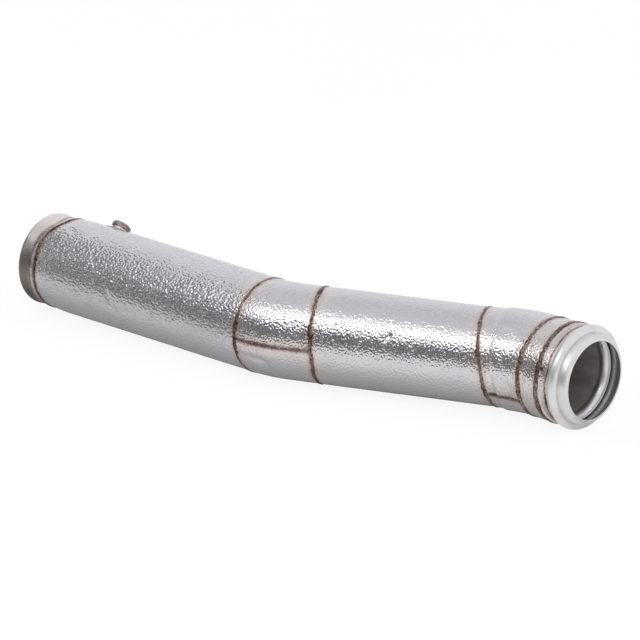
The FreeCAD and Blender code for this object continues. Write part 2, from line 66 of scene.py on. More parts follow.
# Centre line of the pipe: three straight runs and two opposite bends
route = {
    "bendRadius": 115,
    "bendAngle": 20,
    "inletCorner": 399,       # inlet rim to the first corner
    "cornerToCorner": 329.2,
    "outletCorner": 96.7,     # second corner to the outlet mouth
}
bend = math.radians(route["bendAngle"])
tangent = route["bendRadius"] * math.tan(bend / 2)
bendLength = route["bendRadius"] * bend
legs = [
    (route["inletCorner"] - tangent, 0),
    (bendLength, bend),
    (route["cornerToCorner"] - 2 * tangent, 0),
    (bendLength, -bend),
    (route["outletCorner"] - tangent, 0),
]
firstBend = legs[0][0]
middleStart = firstBend + bendLength
secondBend = middleStart + legs[2][0]
outletStart = secondBend + bendLength

# The record's bores give both axes, and the roll of the plane that the bends lie in
bores = {mount["name"]: Vector(mount["pos_m"]) for mount in frame["record"]["mounts"]}
inletAxis = bores["inlet_bore"]
outletAxis = bores["outlet_bore"]
roll = math.atan2(outletAxis.z - inletAxis.z, outletAxis.y - inletAxis.y)
rimCentre = Vector((cadBox[0].x, inletAxis.y, inletAxis.z))


def fromFirstCorner(distance):
    return middleStart + distance - tangent


def fromSecondCorner(distance):
    return outletStart + distance - tangent


def layOnRoute(station, side, up):
    # from the straightened pipe to the real one, in metres
    x = y = heading = 0
    for count, (length, turn) in enumerate(legs):
        last = count == len(legs) - 1
        travel = station if last else min(station, length)
        swing = turn * travel / length
        if turn:
            radius = length / turn
            x += radius * (math.sin(heading + swing) - math.sin(heading))
            y -= radius * (math.cos(heading + swing) - math.cos(heading))
        else:
            x += travel * math.cos(heading)
            y += travel * math.sin(heading)
        heading += swing
        station -= travel
        if station <= 0:
            break
    x -= side * math.sin(heading)
    y += side * math.cos(heading)
    turned = (x, y * math.cos(roll) - up * math.sin(roll), y * math.sin(roll) + up * math.cos(roll))
    return rimCentre + mm * Vector(turned)


# Weld seams. A slant is the seam's shift along the pipe for each millimetre to the side and up.
# A push is (clock, half width, shift). A knot is (clock, half width, swell), where the bead is wide and
# burnt. A line is the foil that a bead follows.
elbowSlant = (-0.1014, -0.0389)
outletSlant = (-0.0716, -0.1865)
collarPush = [(90, 27, 9)]
closingLine = [(fromSecondCorner(29.9), 62.3), (fromSecondCorner(53.3), 63), (fromSecondCorner(61), 63),
               (fromSecondCorner(62.5), 61.3), (fromSecondCorner(68.3), 61.3)]
ringSeams = {
    "collar_rim_weld": {"station": 21.5, "radius": 57.2, "width": 1.8, "burnt": 0.3,
                        "pushes": [(98, 25, 8)], "knots": [(163, 5, 2)]},
    "collar_weld": {"station": 29.5, "radius": 58.6, "width": 3, "burnt": 0.8, "pushes": collarPush,
                    "knots": [(112, 9, 0.6), (155, 10, 0.4)]},
    "elbow_front_weld": {"station": firstBend - 2.25, "radius": 60, "width": 3, "burnt": 0.6,
                         "knots": [(160, 9, 0.8), (188, 11, 0.9)]},
    "elbow_rear_weld": {"station": fromFirstCorner(57.9), "radius": 60, "width": 3.2, "burnt": 0.7,
                        "slant": elbowSlant, "knots": [(96, 12, 0.6), (158, 9, 0.9), (205, 12, 0.3)]},
    "outlet_front_weld": {"station": fromFirstCorner(280.3), "radius": 60, "width": 3.7, "burnt": 0.5,
                          "slant": outletSlant, "knots": [(152, 7, 0.9), (202, 9, 0.8)]},
    "band_weld": {"station": fromSecondCorner(27.7), "radius": 62.3, "width": 4.4, "burnt": 0.55,
                  "knots": [(150, 8, 0.5), (190, 9, 0.4)]},
    "flange_weld": {"station": fromSecondCorner(56.3), "radius": 63, "width": 4.6, "burnt": 0.6,
                    "line": closingLine, "pushes": [(158, 28, 0.8)],
                    "knots": [(155, 22, 0.5), (205, 12, 0.4)]},
    "flange_rim_weld": {"station": fromSecondCorner(69.8), "radius": 60.5, "width": 2.2, "burnt": 0.5,
                        "knots": [(196, 12, 0.7)]},
}
lapSeams = {
    "elbow_lap_weld": {"clock": 179, "line": [(firstBend, 60), (fromFirstCorner(62), 60)]},
    "outlet_lap_weld": {"clock": 206.5, "line": [
        (fromFirstCorner(290), 60.5), (fromFirstCorner(295), 60.5), (fromFirstCorner(301), 62.3),
        (fromSecondCorner(25.4), 62.3)]},
    "inlet_lap_weld": {"clock": 330, "line": [(57.5, 60), (firstBend - 4.5, 60)]},
    "middle_lap_weld": {"clock": 330, "line": [(fromFirstCorner(69), 60), (fromFirstCorner(261), 60)]},
}
lapWidth = 2.4
lapBurnt = 0.75
coolGap = 3     # a weld that is hardly burnt tints the foil as if it were this much further off
farAway = 100


def clockOf(side, up):
    return math.degrees(math.atan2(up, side)) % 360


def swells(marks, clock):
    # sum of the smooth rises round the clock: (clock, half width, height)
    return sum(height * math.exp(-((clock - mark) / half) ** 2) for mark, half, height in marks)


def seamStation(seam, side, up):
    slant = seam.get("slant", (0, 0))
    station = seam["station"] + slant[0] * side + slant[1] * up
    return station + swells(seam.get("pushes", []), clockOf(side, up))


def lineRadius(line, station):
    # radius of a line of (station, radius) points at a station
    for (start, first), (end, last) in zip(line, line[1:]):
        if station < end:
            break
    return first + (last - first) * (station - start) / (end - start)


def seamDistance(station, side, up):
    # millimetres along the skin to the edge of the nearest weld
    nearest = farAway
    for seam in ringSeams.values():
        gap = abs(station - seamStation(seam, side, up)) - seam["width"] / 2
        nearest = min(nearest, gap + coolGap * (1 - seam["burnt"]))
    clock = clockOf(side, up)
    for seam in lapSeams.values():
        if seam["line"][0][0] < station < seam["line"][-1][0]:
            across = math.radians(abs(clock - seam["clock"])) * seam["line"][0][1]
            nearest = min(nearest, across - lapWidth / 2)
    return max(nearest, 0)


def markSeams(shape):
    # keeps the distance to the nearest weld at each point, for the heat colours
    heat = shape.verts.layers.float.new("seamDistance")
    for vert in shape.verts:
        vert[heat] = seamDistance(*vert.co)
    return heat


def finishPiece(name, shape, material, smoothAngle=35):
    # lays a straight shape on the route and makes it a piece of the part
    for vert in shape.verts:
        vert.co = layOnRoute(*vert.co)
    bmesh.ops.remove_doubles(shape, verts=shape.verts, dist=0.00001)
    bmesh.ops.recalc_face_normals(shape, faces=shape.faces)
    mesh = bpy.data.meshes.new(name)
    shape.to_mesh(mesh)
    shape.free()
    mesh.polygons.foreach_set("use_smooth", [True] * len(mesh.polygons))
    mesh.set_sharp_from_angle(angle=math.radians(smoothAngle))
    mesh.materials.append(material)
    piece = bpy.data.objects.new(name, mesh)
    bpy.context.scene.collection.objects.link(piece)
    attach(piece, "root")
    return piece


def drawSection(shape, start, strokes, spacing):
    # draws a line of (station, radius) points; a stroke of three turns about a centre, clockwise from up
    tip = shape.verts.new((start[0], 0, start[1]))
    for stroke in strokes:
        point = Vector((stroke[0], 0, stroke[1]))
        reach = point - tip.co
        if len(stroke) == 2:
            angle = 0
            steps = 1 + int(reach.length / spacing)
            move = reach / steps
        else:
            angle = math.radians(stroke[2])
            steps = max(4, int(reach.length * abs(angle) / spacing))
            move = Vector()
        made = bmesh.ops.spin(shape, geom=[tip], cent=point, axis=(0, 1, 0), dvec=move, angle=angle,
                              steps=steps)
        tip = next(item for item in made["geom_last"] if isinstance(item, bmesh.types.BMVert))


def spinSection(shape, steps):
    # turns the drawn section once round the pipe's axis
    bmesh.ops.remove_doubles(shape, verts=shape.verts, dist=0.001)
    geometry = shape.verts[:] + shape.edges[:]
    bmesh.ops.spin(shape, geom=geometry, cent=(0, 0, 0), axis=(1, 0, 0), angle=2 * math.pi, steps=steps,
                   use_merge=True)


# Shader maths: a wire is a socket that takes Python's operators, and each one adds a Math node
class Wire:
    def __init__(self, tree, socket):
        self.tree = tree
        self.socket = socket

    def math(self, operation, first, second):
        return self.tree.node("ShaderNodeMath", {"operation": operation}, {0: first, 1: second})

    def __add__(self, other):
        return self.math("ADD", self, other)

    def __radd__(self, other):
        return self.math("ADD", other, self)

    def __sub__(self, other):
        return self.math("SUBTRACT", self, other)

    def __rsub__(self, other):
        return self.math("SUBTRACT", other, self)

    def __mul__(self, other):
        return self.math("MULTIPLY", self, other)

    def __rmul__(self, other):
        return self.math("MULTIPLY", other, self)

    def __truediv__(self, other):
        return self.math("DIVIDE", self, other)


class Tree:
    def __init__(self, nodeTree):
        self.nodeTree = nodeTree

    def feed(self, socket, value):
        if isinstance(value, Wire):
            self.nodeTree.links.new(value.socket, socket)
        else:
            socket.default_value = value

    def node(self, kind, settings, sockets, output=0):
        # any node: its type, its settings, which are set first, and the values or wires of its sockets
        made = self.nodeTree.nodes.new(kind)
        for name, setting in settings.items():
            if name == "stops":
                while len(made.color_ramp.elements) < len(setting):
                    made.color_ramp.elements.new(1)
                for element, (position, colour) in zip(made.color_ramp.elements, setting):
                    element.position = position
                    element.color = (*colour, 1)
            else:
                setattr(made, name, setting)
        for name, value in sockets.items():
            self.feed(made.inputs[name], value)
        return Wire(self, made.outputs[output])

    def place(self, output="Object"):
        return self.node("ShaderNodeTexCoord", {}, {}, output)

    def grain(self, size, detail=2, stretch=(1, 1, 1), at=(0, 0, 0)):
        # noise with grains of about the given size in millimetres, between 0 and 1
        spot = self.node("ShaderNodeMapping", {},
                         {"Vector": self.place(), "Location": at, "Scale": stretch})
        return self.node("ShaderNodeTexNoise", {},
                         {"Vector": spot, "Scale": 1 / (size * mm), "Detail": detail})

    def ramp(self, value, stops, output="Color"):
        return self.node("ShaderNodeValToRGB", {"stops": stops}, {"Fac": value}, output)

    def blend(self, factor, first, second):
        return self.node("ShaderNodeMix", {"data_type": "RGBA"}, {0: factor, 6: first, 7: second}, 2)

    def span(self, value, low, high, start, end):
        # moves a value smoothly from start to end while it goes from low to high
        return self.node("ShaderNodeMapRange", {"interpolation_type": "SMOOTHSTEP"},
                         {"Value": value, "From Min": low, "From Max": high,
                          "To Min": start, "To Max": end})

    def bump(self, height, depth):
        # a height between 0 and 1, with the depth in millimetres
        return self.node("ShaderNodeBump", {}, {"Height": height, "Distance": depth * mm, "Strength": 1})


class Finish(Tree):
    def __init__(self, name):
        self.material = bpy.data.materials.new(name)
        self.material.use_nodes = True
        super().__init__(self.material.node_tree)
        self.shader = self.nodeTree.nodes["Principled BSDF"]

    def coat(self, sockets):
        for name, value in sockets.items():
            self.feed(self.shader.inputs[name], value)
        return self.material

    def heat(self):
        # millimetres to the nearest weld, with a ragged edge
        distance = self.node("ShaderNodeAttribute", {"attribute_name": "seamDistance"}, {}, "Fac")
        return distance + (self.grain(9, 3) - 0.5) * 6 + (self.grain(2.5) - 0.5) * 3


# Embossed stainless foil: neutral steel, with brown and rosy heat colours beside the welds
foil = {
    "steel": (0.64, 0.64, 0.66, 1),
    "tint": [(0, (0.20, 0.15, 0.13)), (0.1, (0.37, 0.30, 0.28)), (0.28, (0.60, 0.54, 0.525)),
             (0.7, (0.66, 0.61, 0.595))],
    "tintReach": 12,
    "emboss": 0.85,                   # depth and stretch of the rolled grain
    "stretch": (1.2, 1, 1),
    "inletEmboss": 1.15,              # set apart, so that the inlet's speckle looks round
    "inletStretch": (0.72, 1, 1),
}


def foilFinish(name, emboss, stretch):
    finish = Finish(name)
    heat = finish.heat() / foil["tintReach"]
    tint = finish.ramp(heat, foil["tint"])
    cloud = finish.grain(60, 3)
    dull = finish.blend(cloud, foil["steel"], (0.58, 0.58, 0.60, 1))
    colour = finish.blend(finish.span(heat, 0.6, 1.3, 0, 1), tint, dull)
    rough = finish.span(finish.grain(25, 4), 0.3, 0.7, 0.13, 0.2) + finish.span(heat, 0, 0.5, 0.2, 0)
    fine = finish.grain(2.4, 0, stretch, at=(0.37, 0.11, 0.23))
    dimples = finish.grain(2.7, 0, stretch) * 0.6 + fine * 0.5
    return finish.coat({"Base Color": colour, "Metallic": 1.0, "Roughness": rough,
                        "Normal": finish.bump(dimples, emboss)})


# Weld bead: dark brown scale with lighter, rosy metal in patches
def weldFinish():
    finish = Finish("heatTintedWeld")
    burnt = finish.node("ShaderNodeAttribute", {"attribute_name": "burnt"}, {}, "Fac")
    scale = finish.grain(2.4, 3) + (finish.grain(13, 2) - 0.5) * 0.5 + (0.55 - burnt) * 0.35
    colour = finish.ramp(scale, [(0.25, (0.06, 0.038, 0.032)), (0.45, (0.17, 0.12, 0.108)),
                                 (0.6, (0.33, 0.26, 0.24)), (0.8, (0.54, 0.46, 0.44))])
    rough = finish.span(scale, 0.3, 0.75, 0.5, 0.3)
    return finish.coat({"Base Color": colour, "Metallic": 1.0, "Roughness": rough,
                        "Normal": finish.bump(finish.grain(1.1, 3), 0.12)})


# Pressed collar: grey steel that the heat has tinted brown towards the welds, with painted shade at the
# bottom and a painted highlight at the top
def collarFinish():
    finish = Finish("heatTintedCollarPaintedShade")
    heat = finish.heat() / 14
    cloud = finish.grain(22, 4)
    # painted shade and highlight: the steel's colour runs with height, from near-black brown at the bottom
    # to pinkish white at the top
    height = finish.node("ShaderNodeSeparateXYZ", {}, {0: finish.place()}, "Z")
    steel = finish.ramp(height / 0.12 + (cloud - 0.5) * 0.4, [
        (0.12, (0.12, 0.098, 0.088)), (0.35, (0.22, 0.20, 0.18)), (0.7, (0.32, 0.31, 0.285)),
        (0.85, (0.66, 0.63, 0.61)), (1, (0.76, 0.71, 0.69))])
    tint = finish.ramp(heat, [(0, (0.20, 0.15, 0.135)), (0.2, (0.34, 0.275, 0.255)),
                              (0.6, (0.52, 0.46, 0.445))])
    colour = finish.blend(finish.span(heat, 0.1, 0.5, 0, 1), tint, steel)
    rough = finish.span(cloud, 0.3, 0.7, 0.28, 0.42)
    return finish.coat({"Base Color": colour, "Metallic": 1.0, "Roughness": rough,
                        "Normal": finish.bump(finish.grain(6, 3), 0.05)})


# Outlet flange: bright satin steel with faint turning marks
def flangeFinish():
    finish = Finish("satinFlange")
    marks = finish.grain(1.2, 3, stretch=(1, 0.04, 0.04))
    cloud = finish.grain(18, 4)
    heat = finish.heat() / 9
    steel = finish.ramp(cloud, [(0.3, (0.68, 0.67, 0.665)), (0.7, (0.78, 0.775, 0.77))])
    tinted = finish.blend(finish.span(heat, 0, 1, 0.6, 0), steel, (0.45, 0.37, 0.345, 1))
    skin = finish.node("ShaderNodeAttribute", {"attribute_name": "skin"}, {}, "Fac")
    colour = finish.blend(skin, (0.62, 0.605, 0.595, 1), tinted)
    rough = finish.span(marks, 0.3, 0.7, 0.36, 0.5) + (1 - skin) * 0.12
    return finish.coat({"Base Color": colour, "Metallic": 1.0, "Roughness": rough,
                        "Normal": finish.bump(marks * 0.5 + cloud * 0.5, 0.03)})


# Gas tube: dull grey bore with a bright cut end
def tubeFinish():
    finish = Finish("dullTube")
    cloud = finish.grain(14, 4, stretch=(0.3, 1, 1))
    # the bore is a darker grey than the flared end
    boreGrey = finish.ramp(cloud, [(0.3, (0.38, 0.355, 0.335)), (0.7, (0.55, 0.52, 0.495))])
    skin = finish.node("ShaderNodeAttribute", {"attribute_name": "skin"}, {}, "Fac")
    colour = finish.blend(skin, boreGrey, (0.76, 0.74, 0.745, 1))
    rough = finish.span(cloud, 0.3, 0.7, 0.45, 0.6) - skin * 0.2
    return finish.coat({"Base Color": colour, "Metallic": finish.span(skin, 0, 1, 0.35, 1),
                        "Roughness": rough, "Normal": finish.bump(finish.grain(4, 3), 0.05)})


def smallPartFinish(name, dark, light):
    # turned and hexagon parts: two shades of one metal, with a worn sheen
    finish = Finish(name)
    cloud = finish.grain(4, 4)
    return finish.coat({"Base Color": finish.ramp(cloud, [(0.35, dark), (0.65, light)]), "Metallic": 1.0,
                        "Roughness": finish.span(cloud, 0.3, 0.7, 0.3, 0.5),
                        "Normal": finish.bump(finish.grain(1.0, 3), 0.04)})


def matFinish():
    finish = Finish("needledFibre")
    strands = finish.grain(0.8, 5, stretch=(0.15, 1, 1))
    colour = finish.ramp(strands, [(0.3, (0.62, 0.58, 0.50)), (0.7, (0.88, 0.86, 0.80))])
    return finish.coat({"Base Color": colour, "Roughness": finish.span(strands, 0.3, 0.7, 0.85, 1),
                        "Normal": finish.bump(strands, 0.5)})


def plugFinish():
    # the plug is painted dark on its inlet side as shade, and brown on its outlet side
    finish = Finish("halfShadedPlug")
    low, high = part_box("boss_plug")
    along = finish.node("ShaderNodeSeparateXYZ", {}, {0: finish.place()}, "X")
    cloud = finish.grain(4, 4)
    # painted shade: the inlet half takes this darker colour
    paintedShadeSide = finish.ramp(cloud, [(0.35, (0.085, 0.083, 0.085)), (0.65, (0.17, 0.165, 0.165))])
    brown = finish.ramp(cloud, [(0.35, (0.16, 0.125, 0.12)), (0.65, (0.32, 0.265, 0.255))])
    middle = (low[0] + high[0]) / 2
    colour = finish.blend(finish.span(along, middle - 0.002, middle + 0.003, 0, 1), paintedShadeSide, brown)
    return finish.coat({"Base Color": colour, "Metallic": 0.9,
                        "Roughness": finish.span(cloud, 0.3, 0.7, 0.34, 0.5),
                        "Normal": finish.bump(finish.grain(1.0, 3), 0.04)})


foilCoat = foilFinish("embossedFoil", foil["emboss"], foil["stretch"])
inletCoat = foilFinish("embossedInletFoil", foil["inletEmboss"], foil["inletStretch"])
weldCoat = weldFinish()
nodeFinishes = {
    "sensor_boss": smallPartFinish("tintedBoss", (0.50, 0.45, 0.43), (0.66, 0.60, 0.58)),
    "boss_plug": plugFinish(),
    "plug_washer": smallPartFinish("dullCopper", (0.48, 0.41, 0.39), (0.62, 0.55, 0.53)),
}
for name, material in nodeFinishes.items():
    nodes[name].data.materials.clear()
    nodes[name].data.materials.append(material)
print("finishes made")

# Foil covers: outer and inner line of each section, its slanted ends and its dents.
# A dent is (station, clock, half length, half width, turn in degrees, depth).
cover = {
    "spacing": 1.5,
    "innerSpacing": 6,
    "steps": 256,
    "thickness": 0.5,
    "emboss": 0.14,      # height of the hammered grain
    "embossSize": 3,
    "wave": 0.35,        # slow unevenness of the wrapped foil
    "waveSize": 38,
    "pucker": 0.35,      # pull of the welds
    "puckerReach": 7,
    "puckerSize": 9,
}
covers = {
    "inlet_jacket": {
        "line": [(22, 58.2), (25.5, 58.2), (27, 58.6), (33, 58.6), (57.5, 60), (firstBend, 60)],
        "slant": {"station": 29.5, "pushes": collarPush},
        "dents": [(60, 108, 14, 4, 25, 1.1), (164, 182, 14, 4.5, 60, 1.7), (190, 190, 20, 6, -15, 1.3),
                  (120, 205, 10, 12, 30, 1)],
    },
    "elbow_jacket": {
        "line": [(firstBend, 60), (fromFirstCorner(57.9), 60)],
        "slant": {"station": fromFirstCorner(57.9), "slant": elbowSlant},
        "dents": [(396, 200, 14, 4.5, 8, 1.4), (406, 208, 12, 4, 70, 1.4), (440, 150, 14, 8, 10, 0.5)],
    },
    "middle_jacket": {
        "line": [(fromFirstCorner(57.9), 60), (fromFirstCorner(295), 60)],
        "slant": {"station": fromFirstCorner(57.9), "slant": elbowSlant},
        "dents": [(562, 149.5, 6.5, 2, -58, 2.5), (560, 105, 22, 7, 30, 0.7), (640, 200, 20, 14, 0, 0.6)],
    },
    "outlet_jacket": {
        "line": [(fromFirstCorner(282.5), 60.5), (fromFirstCorner(295), 60.5), (fromFirstCorner(301), 62.3),
                 (fromSecondCorner(29.9), 62.3)],
        "slant": {"station": fromFirstCorner(282.5), "slant": outletSlant},
        "dents": [(705, 125, 14, 8, 20, 0.9), (730, 190, 12, 6, -20, 0.7)],
    },
    "closing_band": {
        "line": closingLine,
        "dents": [(fromSecondCorner(45), 160, 8, 10, 0, 0.6)],
    },
}
slantFade = 30  # a slanted end straightens out over this length


def dentDepth(dent, station, clock, radius):
    along = station - dent[0]
    around = math.radians((clock - dent[1] + 180) % 360 - 180) * radius
    turn = math.radians(dent[4])
    first = (along * math.cos(turn) + around * math.sin(turn)) / dent[2]
    second = (around * math.cos(turn) - along * math.sin(turn)) / dent[3]
    return dent[5] * math.exp(-first * first - second * second)


def crumple(spot, settings, outer, weldGap):
    # moves one point of a cover inwards by its waves, dents, weld pull and hammered grain
    station, side, up = spot
    radius = math.hypot(side, up)
    clock = clockOf(side, up)
    sink = cover["wave"] * (0.5 - 0.5 * noise.noise(spot / cover["waveSize"]))
    sink += sum(dentDepth(dent, station, clock, radius) for dent in settings["dents"])
    pull = math.exp(-weldGap / cover["puckerReach"])
    sink += cover["pucker"] * pull * (0.6 - 0.9 * noise.noise(spot / cover["puckerSize"]))
    if outer:
        sink += cover["emboss"] * (1 - noise.noise(spot / cover["embossSize"]))
    return Vector((station, side * (1 - sink / radius), up * (1 - sink / radius)))


for name, settings in covers.items():
    shape = bmesh.new()
    skin = shape.verts.layers.float.new("skin")
    line = settings["line"]
    drawSection(shape, line[0], line[1:], cover["spacing"])
    for vert in shape.verts:
        vert[skin] = 1
    inner = [(station, radius - cover["thickness"]) for station, radius in reversed(line)]
    drawSection(shape, line[-1], inner + [line[0]], cover["innerSpacing"])
    spinSection(shape, cover["steps"])
    slant = settings.get("slant")
    if slant:
        for vert in shape.verts:
            fade = max(0, 1 - abs(vert.co.x - slant["station"]) / slantFade)
            vert.co.x += (seamStation(slant, vert.co.y, vert.co.z) - slant["station"]) * fade
    heat = markSeams(shape)
    for vert in shape.verts:
        vert.co = crumple(vert.co, settings, vert[skin] > 0.5, vert[heat])
    coat = inletCoat if name == "inlet_jacket" else foilCoat
    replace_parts(finishPiece(name + "_foil", shape, coat), name)
print("foil covers made")

# Weld beads: an oval section carried round or along the pipe, then made uneven
weld = {
    "height": 0.6,       # above the skin
    "root": 1.3,         # below the skin
    "sides": 12,
    "steps": 400,
    "wander": 2.2,       # sideways wander of the bead
    "wanderSize": 19,
    "shakeSize": 6,      # its smaller share
    "uneven": 0.6,       # share of its width that comes and goes
    "unevenSize": 5,
    "ripple": 0.22,      # height of the scales along the bead
    "rippleSize": 1.6,
}


def beadSection(shape, width, turn):
    # an oval, one half of it in the skin
    centre = (weld["height"] - weld["root"]) / 2
    half = (weld["height"] + weld["root"]) / 2
    oval = Matrix.Translation((0, 0, centre)) @ turn @ Matrix.Diagonal((width / 2, half, 1, 1))
    bmesh.ops.create_circle(shape, segments=weld["sides"], radius=1, matrix=oval)


def unevenBead(spot, across, height):
    # the bead's wander, width and scales at a place on the skin
    across *= 1 + weld["uneven"] * noise.noise(spot / weld["unevenSize"]) * 1.6
    drift = noise.noise(spot / weld["wanderSize"]) + 0.3 * noise.noise(spot / weld["shakeSize"])
    across += weld["wander"] * drift
    scales = weld["ripple"] * (noise.noise(spot / weld["rippleSize"]) - 1)
    return across, height + (scales if height > 0 else 0)


for name, seam in ringSeams.items():
    shape = bmesh.new()
    beadSection(shape, seam["width"], Matrix.Rotation(math.pi / 2, 4, "X"))
    bmesh.ops.translate(shape, verts=shape.verts, vec=(0, 0, seam["radius"]))
    spinSection(shape, weld["steps"])
    burnt = shape.verts.layers.float.new("burnt")
    for vert in shape.verts:
        across, side, up = vert.co
        radius = math.hypot(side, up)
        spot = Vector((seam["station"], side, up)) * (seam["radius"] / radius)
        swell = swells(seam["knots"], clockOf(side, up))
        vert[burnt] = min(1, seam["burnt"] + swell / 2)
        across, height = unevenBead(spot, across * (1 + swell), radius - seam["radius"])
        grow = (seam["radius"] + height) / radius
        station = seamStation(seam, side * grow, up * grow) + across
        if "line" in seam:
            grow *= lineRadius(seam["line"], station) / seam["radius"]  # follows a step in the foil
        vert.co = (station, side * grow, up * grow)
    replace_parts(finishPiece(name + "_bead", shape, weldCoat, 60), name)

for name, seam in lapSeams.items():
    shape = bmesh.new()
    start, end = (seam["line"][count][0] for count in (0, -1))
    length = end - start
    turn = Matrix.Rotation(math.pi / 2, 4, "Z") @ Matrix.Rotation(math.pi / 2, 4, "X")
    beadSection(shape, lapWidth, turn)
    steps = int(length)
    bmesh.ops.spin(shape, geom=shape.verts[:] + shape.edges[:], cent=(0, 0, 0), axis=(1, 0, 0),
                   dvec=(length / steps, 0, 0), angle=0, steps=steps)
    bmesh.ops.holes_fill(shape, edges=[edge for edge in shape.edges if edge.is_boundary])
    burnt = shape.verts.layers.float.new("burnt")
    for vert in shape.verts:
        along, across, height = vert.co
        vert[burnt] = lapBurnt
        spot = Vector((along, seam["clock"], 0))
        across, height = unevenBead(spot, across, height)
        skinRadius = lineRadius(seam["line"], start + along)
        clock = math.radians(seam["clock"]) + across / skinRadius
        radius = skinRadius + height
        vert.co = (start + along, radius * math.cos(clock), radius * math.sin(clock))
    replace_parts(finishPiece(name + "_bead", shape, weldCoat, 60), name)
print("weld beads made")

# Foil eyelet, drawn up round the sensor boss
eyelet = {
    "station": 82,
    "clock": 43,
    "skin": 60,
    "line": [(18, 0.1), (17.2, 0.6), (15, 0.8), (12.8, 1.5), (11.4, 1.8), (11.4, 1.3), (12.6, 1), (15, 0.3),
             (17.2, 0.1), (18, 0.1)],      # distance from the boss axis, height above the foil
    "spacing": 0.8,
    "steps": 96,
    "crumple": 0.3,
}
shape = bmesh.new()
line = [(height, reach) for reach, height in eyelet["line"]]
drawSection(shape, line[0], line[1:], eyelet["spacing"])
spinSection(shape, eyelet["steps"])
for vert in shape.verts:
    height, around, along = vert.co
    height += eyelet["crumple"] * abs(noise.noise(Vector((along, around, 0)) / 4))
    clock = math.radians(eyelet["clock"]) + around / eyelet["skin"]
    radius = eyelet["skin"] + height
    vert.co = (eyelet["station"] + along, radius * math.cos(clock), radius * math.sin(clock))
markSeams(shape)
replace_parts(finishPiece("boss_eyelet_foil", shape, foilCoat), "boss_eyelet")
print("eyelet made")

# Pressed collar, outlet flange and gas tube, turned from their sections
turned = {"spacing": 1.0, "steps": 240}
collar = {"rim": 58.4, "neck": 57.2, "round": 5, "wall": 2.5, "flare": 19, "neckEnd": 29.5,
          "coneEnd": 37.5, "end": 48.5}
flange = {"start": 37.3, "coneStart": 45.3, "neckStart": 53.3, "neck": 60.5, "wall": 2,
          "beadStation": 79.7, "beadCentre": 58.2, "beadRound": 6.5, "valley": 56.5,
          "noseStation": 89.7, "nose": 55.8, "noseRound": 7}
tube = {"radius": 50, "wall": 1.5, "start": 21, "endSet": 20.7, "flare": 6, "flareLength": 6,
        "bellLength": 9, "lip": 0.5, "boreSpacing": 6}


def collarShape():
    shape = bmesh.new()
    tubeRadius = tube["radius"]
    sleeve = tubeRadius + collar["wall"]
    inside = collar["neck"] - collar["wall"]
    mouth = collar["rim"] - collar["round"]
    slope = math.atan((collar["neck"] - sleeve) / (collar["coneEnd"] - collar["neckEnd"]))
    shift = collar["wall"] * math.tan(slope / 2)
    drawSection(shape, (0, mouth), [
        (collar["round"], mouth, 90),
        (collar["flare"], collar["neck"]),
        (collar["neckEnd"], collar["neck"]),
        (collar["coneEnd"], sleeve),
        (collar["end"], sleeve),
        (collar["end"], tubeRadius),
        (collar["coneEnd"] - shift, tubeRadius),
        (collar["neckEnd"] - shift, inside),
        (collar["flare"], inside),
        (collar["round"], collar["rim"] - collar["wall"]),
        (collar["round"], mouth, -90),
        (0, mouth),
    ], turned["spacing"])
    spinSection(shape, turned["steps"])
    return shape


def sweep(start, end):
    # degrees from one direction (along, out) to another, clockwise from up
    return math.degrees(math.atan2(*end) - math.atan2(*start))


def flangeShape():
    shape = bmesh.new()
    tubeRadius = tube["radius"]
    wall = flange["wall"]
    sleeve = tubeRadius + wall
    inside = flange["neck"] - wall
    hollow = flange["beadRound"] - wall
    slope = math.atan((flange["neck"] - sleeve) / (flange["neckStart"] - flange["coneStart"]))
    shift = wall * math.tan(slope / 2)
    beadRise = flange["neck"] - flange["beadCentre"]
    beadFall = flange["valley"] - flange["beadCentre"]
    back = math.sqrt(flange["beadRound"] ** 2 - beadRise ** 2)
    front = math.sqrt(flange["beadRound"] ** 2 - beadFall ** 2)
    hollowBack = math.sqrt(hollow ** 2 - (inside - flange["beadCentre"]) ** 2)
    hollowFront = math.sqrt(hollow ** 2 - beadFall ** 2)
    bead = (flange["beadStation"], flange["beadCentre"])
    mouth = flange["nose"] - flange["noseRound"]
    skin = shape.verts.layers.float.new("skin")
    lip = (flange["noseStation"] + flange["noseRound"] - wall, mouth)
    drawSection(shape, (flange["start"], sleeve), [
        (flange["coneStart"], sleeve),
        (flange["neckStart"], flange["neck"]),
        (bead[0] - back, flange["neck"]),
        bead + (sweep((-back, beadRise), (front, beadFall)),),
        (flange["noseStation"], flange["nose"]),
        (flange["noseStation"], mouth, 90),
        lip,
    ], turned["spacing"])
    for vert in shape.verts:
        vert[skin] = 1
    drawSection(shape, lip, [
        (flange["noseStation"], mouth, -90),
        (bead[0] + front, flange["valley"] - wall),
        (bead[0] + hollowFront, flange["valley"]),
        bead + (sweep((hollowFront, beadFall), (-hollowBack, inside - bead[1])),),
        (flange["neckStart"] + shift, inside),
        (flange["coneStart"] + shift, tubeRadius),
        (flange["start"], tubeRadius),
        (flange["start"], sleeve),
    ], turned["spacing"])
    spinSection(shape, turned["steps"])
    for vert in shape.verts:
        vert.co.x = fromSecondCorner(vert.co.x)
    return shape


